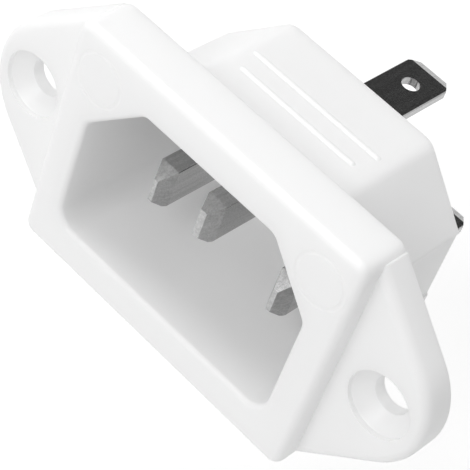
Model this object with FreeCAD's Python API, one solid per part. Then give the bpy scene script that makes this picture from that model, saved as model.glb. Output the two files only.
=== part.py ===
"""Panel inlet socket with three flat pins, fixed to a panel by two countersunk ears.

Frame: millimetres, +Z up.  The origin is the middle of the panel face, half way between
the two screw holes.  The mouth of the socket faces -Y and the tabs for the wiring point
along +Y.  X runs along the line of the two screws.

One moulded housing holds three formed brass terminals.  Each terminal is a blade with a
bevelled tip, a shank held in a pocket of the rear wall, and a flat push-on tab.
"""
import FreeCAD, Part
import math
import os

Vector = FreeCAD.Vector

# ---- Cavity that takes the connector -------------------------------------------------
CAVITY_WIDTH = 24.5
CAVITY_HEIGHT = 16.5
CAVITY_DEPTH = 15.8
CAVITY_CHAMFER = 5.15  # leg of the two upper corners that stop a connector upside down
CAVITY_DRAFT = 0.12  # how far each wall leans in between the mouth and the floor
CAVITY_LOWER_RADIUS = 2.0
CAVITY_UPPER_RADIUS = 1.2
CAVITY_FLOOR_RADIUS = 0.4
MOUTH_ROUNDING = 0.45

# ---- Body that passes through the panel ----------------------------------------------
SIDE_WALL = 1.25
UPPER_WALL = 1.55
CORNER_WALL = 1.64  # wall behind the chamfered corners, measured square to them
REAR_WALL = 2.1
BODY_DRAFT = 0.10
BODY_LOWER_RADIUS = 2.0
BODY_UPPER_RADIUS = 1.8
BODY_SHOULDER_RADIUS = 0.4  # between each chamfer and the side below it
BODY_REAR_ROUNDING = 0.25
SIDE_STEP_DEPTH = 0.07  # each side is set back a little below the chamfer
SIDE_RELIEF_LENGTH = 3.2  # and further back over this length from the rear edge
SIDE_RELIEF_DEPTH = 0.2
SIDE_RELIEF_HEIGHT = 7.6

# ---- Crush ribs on top of the body ---------------------------------------------------
RIB_RADIUS = 0.36
RIB_STAND = 0.17
FRONT_RIB_LENGTH = 12.8
FRONT_RIB_PLACE = 4.8
REAR_RIB_LENGTH = 14.2
REAR_RIB_PLACE = 7.2

# ---- Rim in front of the panel -------------------------------------------------------
RIM_STAND = 4.9
RIM_SIDE_OVERHANG = 2.0
RIM_UPPER_OVERHANG = 2.2
RIM_CORNER_RADIUS = 1.2
RIM_FRONT_ROUNDING = 0.7
RIM_REAR_ROUNDING = 0.2
RIM_RING_RADIUS = 2.35  # plain ring groove in each upper corner of the front
RIM_RING_SIDE_INSET = 3.3
RIM_RING_UPPER_INSET = 4.0
RIM_RING_CUTTER = 0.35
RIM_RING_DEPTH = 0.06

# ---- Ears ----------------------------------------------------------------------------
SCREW_STANDOFF = 4.5  # screw axis outside the side of the rim
EAR_THICKNESS = 2.9
EAR_TIP_RADIUS = 7.4
EAR_TIP_INSET = 3.0  # centre of the tip arc, inside the screw axis
EAR_ROOT_INSET = 0.6  # where the ear meets the rim, in from the rim's corner
EAR_FRONT_ROUNDING = 0.8
SCREW_HOLE_DIAMETER = 3.4
COUNTERSINK_DIAMETER = 6.0
COUNTERSINK_LIP = 0.45
COUNTERSINK_HALF_ANGLE = 45.0

# ---- Terminals -----------------------------------------------------------------------
POWER_PIN_SPACING = 14.0
PIN_ROW_STEP = 4.0  # the earth pin stands this far above the two power pins
BLADE_THICKNESS = 2.0
BLADE_HEIGHT = 4.0
BLADE_EDGE_RADIUS = 0.15
TIP_LENGTH = 1.4  # bevels on both sides of a tip and on its upper edge
TIP_UNDERCUT_LENGTH = 0.9  # bevel on its lower edge
TIP_UNDERCUT_RISE = 0.55
POWER_TIP_FLAT = 0.42
POWER_TIP_DROP = 1.05
POWER_TIP_RECESS = 4.45  # tip behind the front of the rim
EARTH_TIP_FLAT = 0.65
EARTH_TIP_DROP = 0.65
EARTH_TIP_RECESS = 1.5
SHANK_SEAT = 1.3  # depth of the pocket that holds the shank
SHANK_GUSSET = 1.1  # how far the shank runs out behind the rear wall, under the tab
TAB_WIDTH = 4.7
TAB_THICKNESS = 0.8
TAB_EDGE_BEVEL = 0.1
TAB_LENGTH = 12.1
TAB_HOLE_DIAMETER = 1.7
TAB_HOLE_INSET = 3.35
TAB_CORNER_ACROSS = 0.85
TAB_CORNER_ALONG = 1.2
TAB_BEVEL_LENGTH = 0.75
TAB_BEVEL_DEPTH = 0.22
EARTH_TAB_STEP = 0.47  # gap between the blade's edge and the near face of the tab
POWER_TAB_STEP = 1.25

# ---- Sizes that follow ---------------------------------------------------------------
FRONT = -RIM_STAND
FLOOR = FRONT + CAVITY_DEPTH
REAR = FLOOR + REAR_WALL
BODY_WIDTH = CAVITY_WIDTH + 2 * SIDE_WALL
BODY_HEIGHT = CAVITY_HEIGHT + 2 * UPPER_WALL
BODY_CHAMFER = CAVITY_CHAMFER + SIDE_WALL + UPPER_WALL - math.sqrt(2) * CORNER_WALL
RIM_WIDTH = BODY_WIDTH + 2 * RIM_SIDE_OVERHANG
RIM_HEIGHT = BODY_HEIGHT + 2 * RIM_UPPER_OVERHANG
SCREW_SPACING = RIM_WIDTH + 2 * SCREW_STANDOFF
POWER_PIN_Z = -PIN_ROW_STEP / 2
EARTH_PIN_Z = PIN_ROW_STEP / 2

# ---- Modelling -----------------------------------------------------------------------
OVERRUN = 1.0  # how far a cutting tool runs past the face it cuts
TOLERANCE = 1e-3


def outline(corners, y):
    """Closed wire in the plane at depth y through corners given as (x, z, radius)."""
    points = [Vector(x, y, z) for x, z, radius in corners]
    edges = []
    ends = []
    for index, (x, z, radius) in enumerate(corners):
        here = points[index]
        to_last = (points[index - 1] - here).normalize()
        to_next = (points[(index + 1) % len(points)] - here).normalize()
        half_turn = to_last.getAngle(to_next) / 2
        reach = radius / math.tan(half_turn)
        bisector = (to_last + to_next).normalize()
        crown = here + bisector * (radius / math.sin(half_turn) - radius)
        ends.append((here + to_last * reach, crown, here + to_next * reach))
    for index, (start, crown, end) in enumerate(ends):
        if corners[index][2] > 0:
            edges.append(Part.Arc(start, crown, end).toShape())
        next_start = ends[(index + 1) % len(ends)][0]
        edges.append(Part.makeLine(end, next_start))
    return Part.Wire(edges)


def rectangle(width, height, radius, y, x=0.0, z=0.0):
    """Rounded rectangle centred on (x, z) in the plane at depth y."""
    right = x + width / 2
    left = x - width / 2
    top = z + height / 2
    bottom = z - height / 2
    return outline([(left, bottom, radius), (right, bottom, radius),
                    (right, top, radius), (left, top, radius)], y)


def keyed_outline(width, height, chamfer, radii, y):
    """Rectangle whose two upper corners are cut at 45 degrees, as the connector's are.

    The radii are those of the lower corners, the shoulders below the cuts, and the top.
    """
    side = width / 2
    top = height / 2
    lower, shoulder, upper = radii
    return outline([(-side, -top, lower), (side, -top, lower),
                    (side, top - chamfer, shoulder), (side - chamfer, top, upper),
                    (chamfer - side, top, upper), (-side, top - chamfer, shoulder)], y)


def prism(wire, length):
    """Solid from a wire drawn in an XZ plane, run along +Y."""
    return Part.Face(wire).extrude(Vector(0, length, 0))


def box(x_low, x_high, y_low, y_high, z_low, z_high):
    """Block between two opposite corners."""
    size = (x_high - x_low, y_high - y_low, z_high - z_low)
    return Part.makeBox(*size, Vector(x_low, y_low, z_low))


def edges_at_depth(shape, y, inside):
    """Edges that lie wholly in the plane at depth y and whose middle passes the test."""
    chosen = []
    for edge in shape.Edges:
        limits = edge.BoundBox
        flat = abs(limits.YMin - y) < TOLERANCE and abs(limits.YMax - y) < TOLERANCE
        if flat and inside(limits.Center):
            chosen.append(edge)
    return chosen


# ---- Housing -------------------------------------------------------------------------
def make_rim():
    """Frame in front of the panel, with soft front and nearly sharp rear edges."""
    rim = prism(rectangle(RIM_WIDTH, RIM_HEIGHT, RIM_CORNER_RADIUS, FRONT), RIM_STAND)
    rim = rim.makeFillet(RIM_FRONT_ROUNDING, edges_at_depth(rim, FRONT, lambda middle: True))
    return rim.makeFillet(RIM_REAR_ROUNDING, edges_at_depth(rim, 0.0, lambda middle: True))


def make_ear(side):
    """Plate that narrows from the rim to a round tip about the screw, on one side."""
    centre_x = SCREW_SPACING / 2 - EAR_TIP_INSET
    root_x = RIM_WIDTH / 2 - RIM_CORNER_RADIUS
    root_z = RIM_HEIGHT / 2 - EAR_ROOT_INSET
    # the straight flank leaves the rim's side at root_z and is tangent to the tip arc
    run = centre_x - RIM_WIDTH / 2
    reach = math.hypot(run, root_z)
    flank = math.atan2(root_z, -run) - math.acos(EAR_TIP_RADIUS / reach)
    tangent_x = centre_x + EAR_TIP_RADIUS * math.cos(flank)
    tangent_z = EAR_TIP_RADIUS * math.sin(flank)
    front = -EAR_THICKNESS
    upper_root = Vector(RIM_WIDTH / 2, front, root_z)
    lower_root = Vector(RIM_WIDTH / 2, front, -root_z)
    upper_tangent = Vector(tangent_x, front, tangent_z)
    lower_tangent = Vector(tangent_x, front, -tangent_z)
    tip = Vector(centre_x + EAR_TIP_RADIUS, front, 0)
    upper_inner = Vector(root_x, front, root_z)
    lower_inner = Vector(root_x, front, -root_z)
    edges = [Part.makeLine(lower_inner, lower_root), Part.makeLine(lower_root, lower_tangent),
             Part.Arc(lower_tangent, tip, upper_tangent).toShape(),
             Part.makeLine(upper_tangent, upper_root), Part.makeLine(upper_root, upper_inner),
             Part.makeLine(upper_inner, lower_inner)]
    ear = prism(Part.Wire(edges), EAR_THICKNESS)
    beyond_rim = RIM_WIDTH / 2 + TOLERANCE
    ear = ear.makeFillet(EAR_FRONT_ROUNDING,
                         edges_at_depth(ear, front, lambda middle: middle.x > beyond_rim))
    if side < 0:
        ear = ear.mirror(Vector(0, 0, 0), Vector(1, 0, 0))
    return ear


def make_screw_hole(side):
    """Through hole with a countersink that starts below a short straight lip."""
    hole_radius = SCREW_HOLE_DIAMETER / 2
    sink_radius = COUNTERSINK_DIAMETER / 2
    cone_depth = (sink_radius - hole_radius) / math.tan(math.radians(COUNTERSINK_HALF_ANGLE))
    front = -EAR_THICKNESS
    lip = front + COUNTERSINK_LIP
    axis = Vector(side * SCREW_SPACING / 2, 0, 0)
    start = axis + Vector(0, front - OVERRUN, 0)
    along = Vector(0, 1, 0)
    hole = Part.makeCylinder(hole_radius, EAR_THICKNESS + 2 * OVERRUN, start, along)
    straight = Part.makeCylinder(sink_radius, COUNTERSINK_LIP + OVERRUN, start, along)
    cone = Part.makeCone(sink_radius, hole_radius, cone_depth, axis + Vector(0, lip, 0), along)
    return hole.fuse([straight, cone])


def make_side_relief(side, start, depth):
    """Tool that sets one side of the body back by the depth, from y = start to the rear."""
    bottom = BODY_HEIGHT / 2 - BODY_CHAMFER - SIDE_RELIEF_HEIGHT
    face = BODY_WIDTH / 2 - depth
    lean = BODY_DRAFT * (REAR - start) / REAR
    outside = face + OVERRUN
    beyond = REAR + OVERRUN
    corners = [(face + lean, start), (face, REAR), (face, beyond), (outside, beyond),
               (outside, start), (face + lean, start)]
    plate = Part.Face(Part.makePolygon([Vector(side * x, y, bottom) for x, y in corners]))
    return plate.extrude(Vector(0, 0, SIDE_RELIEF_HEIGHT))


def make_body():
    """Drafted shell blank behind the panel, with the two shallow steps on each side."""
    radii = (BODY_LOWER_RADIUS, BODY_SHOULDER_RADIUS, BODY_UPPER_RADIUS)
    front_wire = keyed_outline(BODY_WIDTH + 2 * BODY_DRAFT, BODY_HEIGHT + 2 * BODY_DRAFT,
                               BODY_CHAMFER, radii, 0.0)
    rear_wire = keyed_outline(BODY_WIDTH, BODY_HEIGHT, BODY_CHAMFER, radii, REAR)
    body = Part.makeLoft([front_wire, rear_wire], True, True)
    body = body.makeFillet(BODY_REAR_ROUNDING, edges_at_depth(body, REAR, lambda middle: True))
    steps = ((0.0, SIDE_STEP_DEPTH), (REAR - SIDE_RELIEF_LENGTH, SIDE_RELIEF_DEPTH))
    return body.cut([make_side_relief(side, start, depth) for side in (-1, 1) for start, depth in steps])


def make_rib(length, y):
    """Low crush rib along X: the crown of a round bar with ball ends."""
    z = BODY_HEIGHT / 2 + BODY_DRAFT * (1 - y / REAR) + RIB_STAND - RIB_RADIUS
    half = length / 2 - RIB_RADIUS
    bar = Part.makeCylinder(RIB_RADIUS, 2 * half, Vector(-half, y, z), Vector(1, 0, 0))
    ends = [Part.makeSphere(RIB_RADIUS, Vector(end, y, z)) for end in (-half, half)]
    return bar.fuse(ends)


def make_cavity():
    """Keyed hollow that narrows slightly from the mouth to the floor."""
    narrow = 2 * CAVITY_DRAFT
    radii = (CAVITY_LOWER_RADIUS, CAVITY_UPPER_RADIUS, CAVITY_UPPER_RADIUS)
    mouth = keyed_outline(CAVITY_WIDTH, CAVITY_HEIGHT, CAVITY_CHAMFER, radii, FRONT)
    floor = keyed_outline(CAVITY_WIDTH - narrow, CAVITY_HEIGHT - narrow, CAVITY_CHAMFER, radii, FLOOR)
    cavity = Part.makeLoft([mouth, floor], True, True)
    return cavity.makeFillet(CAVITY_FLOOR_RADIUS, edges_at_depth(cavity, FLOOR, lambda middle: True))


def make_ring(side):
    """Tool for the shallow round groove in one upper corner of the rim's front."""
    centre = Vector(side * (RIM_WIDTH / 2 - RIM_RING_SIDE_INSET),
                    FRONT + RIM_RING_DEPTH - RIM_RING_CUTTER,
                    RIM_HEIGHT / 2 - RIM_RING_UPPER_INSET)
    return Part.makeTorus(RIM_RING_RADIUS, RIM_RING_CUTTER, centre, Vector(0, 1, 0))


def round_mouth(housing):
    """Soft edge between the front of the rim and the cavity."""
    def on_mouth(middle):
        across = abs(middle.x) < CAVITY_WIDTH / 2 + TOLERANCE
        upright = abs(middle.z) < CAVITY_HEIGHT / 2 + TOLERANCE
        return across and upright
    return housing.makeFillet(MOUTH_ROUNDING, edges_at_depth(housing, FRONT, on_mouth))


def make_housing(terminal_seats):
    """The whole moulding: rim, ears and body, hollowed and cut for screws and terminals."""
    housing = make_rim().fuse([make_ear(-1), make_ear(1), make_body()])
    housing = housing.cut([make_cavity(), make_screw_hole(-1), make_screw_hole(1)])
    housing = round_mouth(housing).cut([make_ring(-1), make_ring(1)])
    ribs = [make_rib(FRONT_RIB_LENGTH, FRONT_RIB_PLACE), make_rib(REAR_RIB_LENGTH, REAR_RIB_PLACE)]
    return housing.fuse(ribs).removeSplitter().cut(terminal_seats)


# ---- Terminals -----------------------------------------------------------------------
def shank_limits(blade_z, tab_side, tab_step):
    """Lowest and highest z of the shank, which spans the blade, the step and the tab."""
    far_edge = blade_z + tab_side * (BLADE_HEIGHT / 2 + tab_step + TAB_THICKNESS)
    near_edge = blade_z - tab_side * BLADE_HEIGHT / 2
    return min(far_edge, near_edge), max(far_edge, near_edge)


def make_strip(x, low):
    """Bar of the tab's section, with its four long edges taken off."""
    half = TAB_WIDTH / 2
    flat = half - TAB_EDGE_BEVEL
    high = low + TAB_THICKNESS
    upper = high - TAB_EDGE_BEVEL
    lower = low + TAB_EDGE_BEVEL
    corners = [(-flat, low), (flat, low), (half, lower), (half, upper), (flat, high),
               (-flat, high), (-half, upper), (-half, lower), (-flat, low)]
    section = Part.makePolygon([Vector(x + offset, REAR, z) for offset, z in corners])
    return prism(section, TAB_LENGTH)


def make_tab(x, tab_low):
    """Flat push-on tab with cut corners, a hole and a bevelled lead-in on both faces."""
    end = REAR + TAB_LENGTH
    half = TAB_WIDTH / 2
    corner_x = half - TAB_CORNER_ACROSS
    corner_y = end - TAB_CORNER_ALONG
    points = [(-half, REAR), (half, REAR), (half, corner_y), (corner_x, end),
              (-corner_x, end), (-half, corner_y), (-half, REAR)]
    plan = Part.Face(Part.makePolygon([Vector(x + offset, along, tab_low) for offset, along in points]))
    tab = make_strip(x, tab_low).common(plan.extrude(Vector(0, 0, TAB_THICKNESS)))
    hole = Part.makeCylinder(TAB_HOLE_DIAMETER / 2, TAB_THICKNESS + 2 * OVERRUN,
                             Vector(x, end - TAB_HOLE_INSET, tab_low - OVERRUN))
    bevel_start = end - TAB_BEVEL_LENGTH
    left = x - half - OVERRUN
    across = Vector(TAB_WIDTH + 2 * OVERRUN, 0, 0)
    bevels = []
    for face_z, outward in ((tab_low, -1), (tab_low + TAB_THICKNESS, 1)):
        wedge = [Vector(left, bevel_start, face_z), Vector(left, end, face_z - outward * TAB_BEVEL_DEPTH),
                 Vector(left, end, face_z), Vector(left, bevel_start, face_z)]
        bevels.append(Part.Face(Part.makePolygon(wedge)).extrude(across))
    return tab.cut([hole] + bevels)


def make_shank(x, blade_z, tab_side, tab_step):
    """Flat web that joins blade and tab, seated in the rear wall, with a sloping end."""
    low, high = shank_limits(blade_z, tab_side, tab_step)
    tab_edge, blade_edge = (high, low) if tab_side > 0 else (low, high)
    seat = REAR - SHANK_SEAT
    corners = [(seat, tab_edge), (seat, blade_edge), (REAR, blade_edge),
               (REAR + SHANK_GUSSET, tab_edge), (seat, tab_edge)]
    left = x - BLADE_THICKNESS / 2
    web = Part.Face(Part.makePolygon([Vector(left, y, z) for y, z in corners]))
    return web.extrude(Vector(BLADE_THICKNESS, 0, 0))


def blade_wire(x, z, y):
    """Section of the blade at depth y."""
    return rectangle(BLADE_THICKNESS, BLADE_HEIGHT, BLADE_EDGE_RADIUS, y, x, z)


def bevel_tool(tip_corner, shoulder, outward, run):
    """Wedge that cuts the bevel from a corner of the tip back to its shoulder."""
    slope = shoulder - tip_corner
    start = tip_corner - slope
    end = shoulder + slope
    corners = [start, end, end + outward, start + outward, start]
    return Part.Face(Part.makePolygon(corners)).extrude(run)


def make_blade(x, z, tip_y, tip_flat, tip_drop):
    """Flat pin from the shank to a tip pinched from both sides and bevelled above and below."""
    blade = prism(blade_wire(x, z, tip_y), REAR - SHANK_SEAT - tip_y)
    half = BLADE_THICKNESS / 2
    low = z - BLADE_HEIGHT / 2
    high = z + BLADE_HEIGHT / 2
    shoulder_y = tip_y + TIP_LENGTH
    left = x - half - OVERRUN
    base = low - OVERRUN
    across = Vector(BLADE_THICKNESS + 2 * OVERRUN, 0, 0)
    upright = Vector(0, 0, BLADE_HEIGHT + 2 * OVERRUN)
    tools = [bevel_tool(Vector(left, tip_y, high - tip_drop), Vector(left, shoulder_y, high),
                        Vector(0, 0, tip_drop + OVERRUN), across),
             bevel_tool(Vector(left, tip_y, low + TIP_UNDERCUT_RISE),
                        Vector(left, tip_y + TIP_UNDERCUT_LENGTH, low),
                        Vector(0, 0, -TIP_UNDERCUT_RISE - OVERRUN), across)]
    for side in (-1, 1):
        tools.append(bevel_tool(Vector(x + side * tip_flat / 2, tip_y, base),
                                Vector(x + side * half, shoulder_y, base),
                                Vector(side * BLADE_THICKNESS, 0, 0), upright))
    return blade.cut(tools)


def make_terminal(x, blade_z, tip_recess, tip_flat, tip_drop, tab_side, tab_step):
    """One formed terminal, in one piece from the tip to the end of the tab."""
    blade = make_blade(x, blade_z, FRONT + tip_recess, tip_flat, tip_drop)
    shank = make_shank(x, blade_z, tab_side, tab_step)
    near_face = blade_z + tab_side * (BLADE_HEIGHT / 2 + tab_step)
    tab_low = near_face if tab_side > 0 else near_face - TAB_THICKNESS
    return blade.fuse([shank, make_tab(x, tab_low)]).removeSplitter()


def make_seat(x, blade_z, tab_side, tab_step):
    """Slot for the blade and pocket for the shank, cut through the rear wall."""
    low, high = shank_limits(blade_z, tab_side, tab_step)
    half = BLADE_THICKNESS / 2
    slot = prism(blade_wire(x, blade_z, FLOOR - OVERRUN), REAR_WALL + OVERRUN)
    pocket = box(x - half, x + half, REAR - SHANK_SEAT, REAR + OVERRUN, low, high)
    return slot.fuse(pocket)


# tip behind the rim, width of the tip, drop of its upper bevel, side of the tab, gap to it
POWER_FORM = (POWER_TIP_RECESS, POWER_TIP_FLAT, POWER_TIP_DROP, -1, POWER_TAB_STEP)
EARTH_FORM = (EARTH_TIP_RECESS, EARTH_TIP_FLAT, EARTH_TIP_DROP, 1, EARTH_TAB_STEP)
# name: x and z of the blade, and its form
TERMINALS = {
    "power_terminal_left": (-POWER_PIN_SPACING / 2, POWER_PIN_Z, POWER_FORM),
    "power_terminal_right": (POWER_PIN_SPACING / 2, POWER_PIN_Z, POWER_FORM),
    "earth_terminal": (0.0, EARTH_PIN_Z, EARTH_FORM),
}


def main():
    """Build every node and write it as STEP."""
    os.makedirs("parts", exist_ok=True)
    nodes = {}
    seats = []
    for name, (x, z, form) in TERMINALS.items():
        recess, flat, drop, tab_side, tab_step = form
        nodes[name] = make_terminal(x, z, recess, flat, drop, tab_side, tab_step)
        seats.append(make_seat(x, z, tab_side, tab_step))
    nodes["housing"] = make_housing(seats)
    for name, shape in nodes.items():
        solids = shape.Solids
        if not shape.isValid() or len(solids) != 1:
            raise ValueError(f"{name} has {len(solids)} solids, valid: {shape.isValid()}")
        solids[0].exportStep(os.path.join("parts", name + ".step"))
        size = solids[0].BoundBox
        print(f"{name}: volume {solids[0].Volume:.1f}, x {size.XMin:.2f}..{size.XMax:.2f}, "
              f"y {size.YMin:.2f}..{size.YMax:.2f}, z {size.ZMin:.2f}..{size.ZMax:.2f}")


main()
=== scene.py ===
import math

import bpy
from mathutils import Matrix, Vector


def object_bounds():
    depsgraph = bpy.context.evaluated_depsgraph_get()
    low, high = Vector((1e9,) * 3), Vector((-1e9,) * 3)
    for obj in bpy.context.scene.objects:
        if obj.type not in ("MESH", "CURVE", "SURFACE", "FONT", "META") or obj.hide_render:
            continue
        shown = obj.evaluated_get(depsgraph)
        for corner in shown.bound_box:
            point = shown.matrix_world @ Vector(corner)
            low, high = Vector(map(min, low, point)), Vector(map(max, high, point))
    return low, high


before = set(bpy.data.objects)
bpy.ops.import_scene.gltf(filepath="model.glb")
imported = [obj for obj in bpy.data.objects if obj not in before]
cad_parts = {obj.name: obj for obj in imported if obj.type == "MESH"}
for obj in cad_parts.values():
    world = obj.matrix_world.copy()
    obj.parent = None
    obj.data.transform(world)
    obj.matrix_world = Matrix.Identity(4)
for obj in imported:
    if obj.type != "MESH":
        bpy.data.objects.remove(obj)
cad_low, cad_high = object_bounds()

MM = 0.001

# ---- Camera --------------------------------------------------------------------------
CAMERA_AIM = Vector((1.27, 0.34, -0.33)) * MM
CAMERA_AZIMUTH = math.radians(28.75)
CAMERA_ELEVATION = math.radians(44.05)
CAMERA_ROLL = math.radians(21.68)
CAMERA_DISTANCE = 157.7 * MM
CAMERA_LENS = 150.565
CAMERA_SENSOR = 36.0
CAMERA_NEAR = 10.0 * MM

# ---- Light and surroundings ----------------------------------------------------------
WORLD_STRENGTH = 0.43
FLOOR_REACH = 1.2  # from the middle to each side
FLOOR_DROP = 30.0 * MM
FLOOR_COLOUR = (0.86, 0.86, 0.86, 1.0)
FLOOR_GLOW_NEAR = 0.24  # strength of the floor's own glow, here and below
FLOOR_GLOW_FAR = 0.66
FLOOR_FADE = 0.5  # distance from the object at which the floor's own glow is full
LAMP_DISTANCE = 0.4
LAMP_SIZE = 0.2
# name: azimuth from the front towards +X and elevation, in degrees, and power in watts
LAMPS = {
    "front": (-5, 38, 0.58),
    "overhead": (-90, 65, 0.62),
    "back": (165, 35, 0.12),
}
CARD_SIZE = 0.30
CARD_PLACE = Vector((-0.12, 0.22, 0.25))  # above and behind, to the left
CARD_COLOUR = (0.05, 0.05, 0.05, 1.0)

# ---- Finishes ------------------------------------------------------------------------
PLASTIC_COLOUR = (0.93, 0.93, 0.93, 1.0)
PLASTIC_IOR = 1.49
PLASTIC_ROUGHNESS = 0.42
PLASTIC_TRANSLUCENCE = 0.6  # share of the light that passes into the moulding
PLASTIC_SCATTER = 3.0 * MM  # how far it travels there, more than the walls of the body are thick
PLASTIC_GRAIN = 1400.0  # cycles of the noise per metre, here and below
PLASTIC_GRAIN_DETAIL = 3.0
PLASTIC_BUMP = 0.05
PLASTIC_BUMP_HEIGHT = 0.05 * MM
METAL_DARK = (0.38, 0.38, 0.38, 1.0)
METAL_LIGHT = (0.50, 0.50, 0.50, 1.0)
METAL_DARK_PLACE = 0.15  # product of the two noises below which the metal is darkest
METAL_LIGHT_PLACE = 0.35  # and above which it is lightest
METAL_ROUGHNESS = 0.22
METAL_LINES = (3000.0, 120.0, 3000.0)  # stretched along Y, the length of the strip
METAL_LINES_DETAIL = 4.0
METAL_SPECKLE = 6000.0
METAL_SPECKLE_DETAIL = 2.0
METAL_BUMP = 0.08
METAL_BUMP_HEIGHT = 0.01 * MM


def place_camera():
    """Camera on a sphere about the aim, turned about its own axis by the roll."""
    right = Vector((math.cos(CAMERA_AZIMUTH), math.sin(CAMERA_AZIMUTH), 0))
    back = Vector((math.sin(CAMERA_AZIMUTH) * math.cos(CAMERA_ELEVATION),
                   -math.cos(CAMERA_AZIMUTH) * math.cos(CAMERA_ELEVATION),
                   math.sin(CAMERA_ELEVATION)))
    up = back.cross(right)
    rolled_right = right * math.cos(CAMERA_ROLL) + up * math.sin(CAMERA_ROLL)
    rolled_up = back.cross(rolled_right)
    data = bpy.data.cameras.new("camera")
    data.sensor_width = CAMERA_SENSOR
    data.lens = CAMERA_LENS
    data.clip_start = CAMERA_NEAR
    camera = bpy.data.objects.new("camera", data)
    bpy.context.scene.collection.objects.link(camera)
    turn = Matrix((rolled_right, rolled_up, back)).transposed().to_4x4()
    camera.matrix_world = Matrix.Translation(CAMERA_AIM + back * CAMERA_DISTANCE) @ turn
    bpy.context.scene.camera = camera


def new_material(name):
    """Empty node material and its Principled shader."""
    material = bpy.data.materials.new(name)
    material.use_nodes = True
    return material, material.node_tree.nodes["Principled BSDF"]


def add_bump(material, shader, height, strength, distance):
    """Surface relief on the shader from a height output."""
    bump = material.node_tree.nodes.new("ShaderNodeBump")
    bump.inputs["Strength"].default_value = strength
    bump.inputs["Distance"].default_value = distance
    material.node_tree.links.new(height, bump.inputs["Height"])
    material.node_tree.links.new(bump.outputs["Normal"], shader.inputs["Normal"])


def plastic_material():
    """White moulded plastic with a satin face and a very fine moulding grain."""
    material, shader = new_material("white_moulded_plastic")
    nodes = material.node_tree.nodes
    shader.inputs["Base Color"].default_value = PLASTIC_COLOUR
    shader.inputs["IOR"].default_value = PLASTIC_IOR
    shader.inputs["Roughness"].default_value = PLASTIC_ROUGHNESS
    shader.inputs["Subsurface Weight"].default_value = PLASTIC_TRANSLUCENCE
    shader.inputs["Subsurface Radius"].default_value = (1.0, 1.0, 1.0)
    shader.inputs["Subsurface Scale"].default_value = PLASTIC_SCATTER
    place = nodes.new("ShaderNodeTexCoord")
    grain = nodes.new("ShaderNodeTexNoise")
    grain.inputs["Scale"].default_value = PLASTIC_GRAIN
    grain.inputs["Detail"].default_value = PLASTIC_GRAIN_DETAIL
    material.node_tree.links.new(place.outputs["Object"], grain.inputs["Vector"])
    add_bump(material, shader, grain.outputs["Fac"], PLASTIC_BUMP, PLASTIC_BUMP_HEIGHT)
    return material


def metal_material():
    """Nickel-plated brass strip, dull from rolling, with fine speckle and lines along it."""
    material, shader = new_material("plated_strip")
    nodes = material.node_tree.nodes
    links = material.node_tree.links
    shader.inputs["Metallic"].default_value = 1.0
    shader.inputs["Roughness"].default_value = METAL_ROUGHNESS
    place = nodes.new("ShaderNodeTexCoord")
    stretch = nodes.new("ShaderNodeMapping")
    stretch.inputs["Scale"].default_value = METAL_LINES
    lines = nodes.new("ShaderNodeTexNoise")
    lines.inputs["Scale"].default_value = 1.0
    lines.inputs["Detail"].default_value = METAL_LINES_DETAIL
    speckle = nodes.new("ShaderNodeTexNoise")
    speckle.inputs["Scale"].default_value = METAL_SPECKLE
    speckle.inputs["Detail"].default_value = METAL_SPECKLE_DETAIL
    both = nodes.new("ShaderNodeMath")
    both.operation = "MULTIPLY"
    tone = nodes.new("ShaderNodeValToRGB")
    darkest, lightest = tone.color_ramp.elements
    darkest.position = METAL_DARK_PLACE
    darkest.color = METAL_DARK
    lightest.position = METAL_LIGHT_PLACE
    lightest.color = METAL_LIGHT
    links.new(place.outputs["Object"], stretch.inputs["Vector"])
    links.new(stretch.outputs["Vector"], lines.inputs["Vector"])
    links.new(place.outputs["Object"], speckle.inputs["Vector"])
    links.new(lines.outputs["Fac"], both.inputs[0])
    links.new(speckle.outputs["Fac"], both.inputs[1])
    links.new(both.outputs[0], tone.inputs["Fac"])
    links.new(tone.outputs["Color"], shader.inputs["Base Color"])
    add_bump(material, shader, both.outputs[0], METAL_BUMP, METAL_BUMP_HEIGHT)
    return material


def seen_directly(nodes, links):
    """1 for rays from the camera, from a mirror or through glass, else 0."""
    path = nodes.new("ShaderNodeLightPath")
    first = nodes.new("ShaderNodeMath")
    first.operation = "MAXIMUM"
    second = nodes.new("ShaderNodeMath")
    second.operation = "MAXIMUM"
    links.new(path.outputs["Is Camera Ray"], first.inputs[0])
    links.new(path.outputs["Is Glossy Ray"], first.inputs[1])
    links.new(first.outputs[0], second.inputs[0])
    links.new(path.outputs["Is Transmission Ray"], second.inputs[1])
    return second.outputs[0]


def floor_material():
    """Pale floor that keeps the soft shadow and fades to the white surround far away."""
    material, shader = new_material("pale_floor")
    nodes = material.node_tree.nodes
    links = material.node_tree.links
    shader.inputs["Base Color"].default_value = FLOOR_COLOUR
    shader.inputs["Roughness"].default_value = 1.0
    shader.inputs["Specular IOR Level"].default_value = 0.0
    shader.inputs["Emission Color"].default_value = (1.0, 1.0, 1.0, 1.0)
    place = nodes.new("ShaderNodeTexCoord")
    away = nodes.new("ShaderNodeVectorMath")
    away.operation = "LENGTH"
    glow = nodes.new("ShaderNodeMapRange")
    glow.inputs["From Max"].default_value = FLOOR_FADE
    glow.inputs["To Min"].default_value = FLOOR_GLOW_NEAR
    glow.inputs["To Max"].default_value = FLOOR_GLOW_FAR
    scale = nodes.new("ShaderNodeMath")
    scale.operation = "MULTIPLY"
    links.new(place.outputs["Object"], away.inputs[0])
    links.new(away.outputs["Value"], glow.inputs["Value"])
    links.new(seen_directly(nodes, links), scale.inputs[0])
    links.new(glow.outputs["Result"], scale.inputs[1])
    links.new(scale.outputs[0], shader.inputs["Emission Strength"])
    return material


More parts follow.
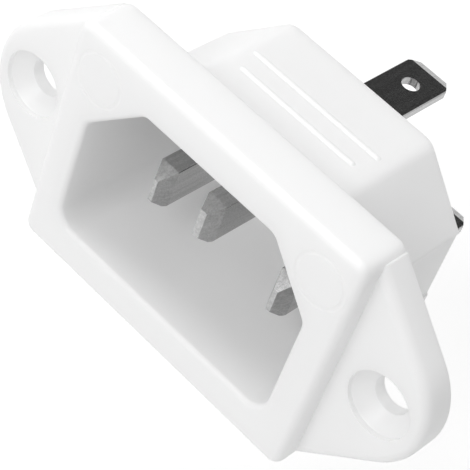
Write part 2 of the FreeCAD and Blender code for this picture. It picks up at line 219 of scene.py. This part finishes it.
def stage_square(name, half, z, material):
    """Square of staging with its face up, at height z in its own frame."""
    mesh = bpy.data.meshes.new(name)
    corners = [(-half, -half, z), (half, -half, z), (half, half, z), (-half, half, z)]
    mesh.from_pydata(corners, [], [(0, 1, 2, 3)])
    square = bpy.data.objects.new(name, mesh)
    bpy.context.scene.collection.objects.link(square)
    square.data.materials.append(material)
    return square


def turn_to_object(thing, place):
    """Put a lamp or a card at a place, turned to face the object."""
    thing.location = place
    thing.rotation_mode = "QUATERNION"
    thing.rotation_quaternion = place.to_track_quat("Z", "Y")


def add_floor():
    """Level floor below the object, which is made to hang on a panel."""
    stage_square("floor", FLOOR_REACH, cad_low.z - FLOOR_DROP, floor_material())


def set_world():
    """Even studio light for the object, plain white where it is seen directly."""
    world = bpy.data.worlds.new("studio")
    bpy.context.scene.world = world
    world.use_nodes = True
    nodes = world.node_tree.nodes
    links = world.node_tree.links
    background = nodes["Background"]
    background.inputs["Color"].default_value = (1.0, 1.0, 1.0, 1.0)
    pick = nodes.new("ShaderNodeMapRange")
    pick.inputs["To Min"].default_value = WORLD_STRENGTH
    pick.inputs["To Max"].default_value = 1.0
    links.new(seen_directly(nodes, links), pick.inputs["Value"])
    links.new(pick.outputs["Result"], background.inputs["Strength"])


def add_soft_box(name, azimuth, elevation, power):
    """Square soft box that faces the object."""
    turn = math.radians(azimuth)
    rise = math.radians(elevation)
    level = LAMP_DISTANCE * math.cos(rise)
    height = LAMP_DISTANCE * math.sin(rise)
    place = Vector((level * math.sin(turn), -level * math.cos(turn), height))
    data = bpy.data.lights.new(name, "AREA")
    data.size = LAMP_SIZE
    data.energy = power
    lamp = bpy.data.objects.new(name, data)
    bpy.context.scene.collection.objects.link(lamp)
    turn_to_object(lamp, place)


def add_card():
    """Dark card above and behind, which shows only in what the surfaces reflect."""
    material, shader = new_material("dark_card")
    shader.inputs["Base Color"].default_value = CARD_COLOUR
    shader.inputs["Roughness"].default_value = 1.0
    card = stage_square("card", CARD_SIZE / 2, 0, material)
    turn_to_object(card, CARD_PLACE)
    card.visible_camera = False
    card.visible_diffuse = False
    card.visible_shadow = False


def finish_nodes():
    """Give each CAD node its material."""
    finishes = {"housing_plastic": plastic_material(), "terminal_metal": metal_material()}
    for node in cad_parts.values():
        slot = node.data.materials[0].name
        node.data.materials[0] = finishes[slot]


bpy.context.scene.view_settings.view_transform = "Standard"
place_camera()
set_world()
for name, (azimuth, elevation, power) in LAMPS.items():
    add_soft_box(name, azimuth, elevation, power)
add_floor()
add_card()
finish_nodes()
